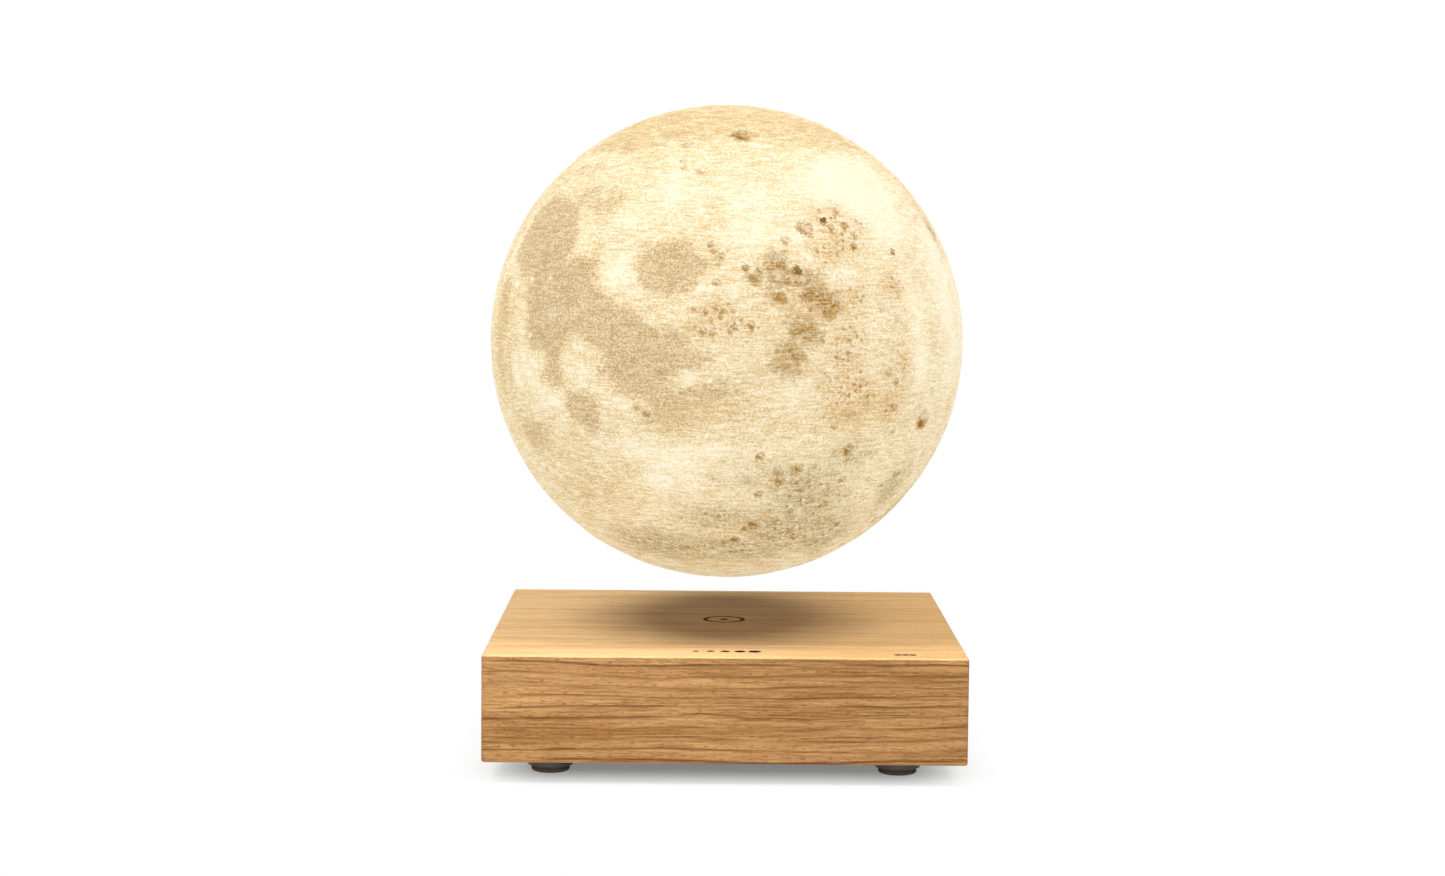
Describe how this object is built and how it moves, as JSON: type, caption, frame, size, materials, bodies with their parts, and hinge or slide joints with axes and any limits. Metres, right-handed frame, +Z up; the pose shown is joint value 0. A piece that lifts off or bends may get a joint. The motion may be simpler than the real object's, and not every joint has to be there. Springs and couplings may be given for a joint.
{
  "type": "levitating moon lamp",
  "caption": "Table lamp: a lit moon globe that hovers and turns over a square oak base holding the lifting magnets, coils, electronics, power inlet and touch sensor.",
  "frame": {"origin": "on the ground under the middle of the lamp, at the level of the undersides of the feet", "axes": "+Z up, -Y the front with the row of dots, +Y the back with the power inlet, +X the lamp's right seen from the front"},
  "size_m": [0.15, 0.15, 0.2027],
  "materials": {
    "oak": "matt oiled oak",
    "black_plastic": "fine-grained moulded plastic",
    "foot_plastic": "dark brown moulded plastic",
    "foot_rubber": "matt rubber",
    "steel": "zinc-plated",
    "brass": "bare brass",
    "frame_plastic": "off-white moulded plastic",
    "ferrite": "dark sintered ferrite",
    "soft_iron": "bare iron",
    "copper": "enamelled copper wire",
    "board": "green circuit board",
    "chip": "moulded chip package",
    "can": "capacitor can",
    "socket": "moulded socket",
    "lead": "insulated wire",
    "nickel": "nickel-plated magnet",
    "moon": "printed plastic, lit from inside",
    "white_plastic": "white moulded plastic",
    "aluminium": "bare aluminium",
    "led": "light-emitting diode, lit",
    "diffuser": "opal plastic"
  },
  "bodies": {
    "base": {"base_block": "oak", "bottom_plate": "black_plastic", "foot_screws": "steel", "thread_inserts": "brass", "plate_screws": "steel", "module_frame": "frame_plastic", "frame_screws": "steel", "module_cover": "frame_plastic", "magnet_ring": "ferrite", "back_iron_plate": "soft_iron", "coil_cores": "soft_iron", "hall_board": "board", "hall_sensors": "chip", "control_board": "board", "board_standoffs": "brass", "board_screws": "steel", "capacitors": "can", "driver_chips": "chip", "power_inductor": "ferrite", "lead_sockets": "socket", "dc_jack_body": "black_plastic", "dc_jack_contacts": "brass", "dc_jack_nut": "steel", "power_leads": "lead", "transmit_coil": "copper", "transmit_leads": "lead", "touch_pad": "copper", "touch_spring": "steel", "touch_board": "board", "touch_lead": "lead", "foot_collar_1": "foot_plastic", "foot_pad_1": "foot_rubber", "coil_bobbin_1": "frame_plastic", "coil_winding_1": "copper", "foot_collar_2": "foot_plastic", "foot_pad_2": "foot_rubber", "coil_bobbin_2": "frame_plastic", "coil_winding_2": "copper", "foot_collar_3": "foot_plastic", "foot_pad_3": "foot_rubber", "coil_bobbin_3": "frame_plastic", "coil_winding_3": "copper", "foot_collar_4": "foot_plastic", "foot_pad_4": "foot_rubber", "coil_bobbin_4": "frame_plastic", "coil_winding_4": "copper"},
    "float": {"lift_magnet": "nickel"},
    "moon": {"moon_shell": "moon", "moon_cap": "moon", "magnet_retainer": "white_plastic", "moon_screws": "steel", "receiver_coil": "copper", "receiver_ferrite": "ferrite", "receiver_board": "board", "receiver_parts": "chip", "led_post": "aluminium", "led_board": "aluminium", "leds": "led", "led_diffuser": "diffuser", "led_leads": "lead"}
  },
  "joints": [
    {"name": "moon_lift", "type": "slide", "parent": "base", "child": "float", "axis": [0, 0, 1], "range_m": [-0.0144, 0.06], "stiffness_N_per_m": 45.513, "springref_m": 0.06},
    {"name": "moon_spin", "type": "hinge", "parent": "float", "child": "moon", "pos_m": [0, 0, 0.1277], "axis": [0, 0, 1], "continuous": true}
  ]
}
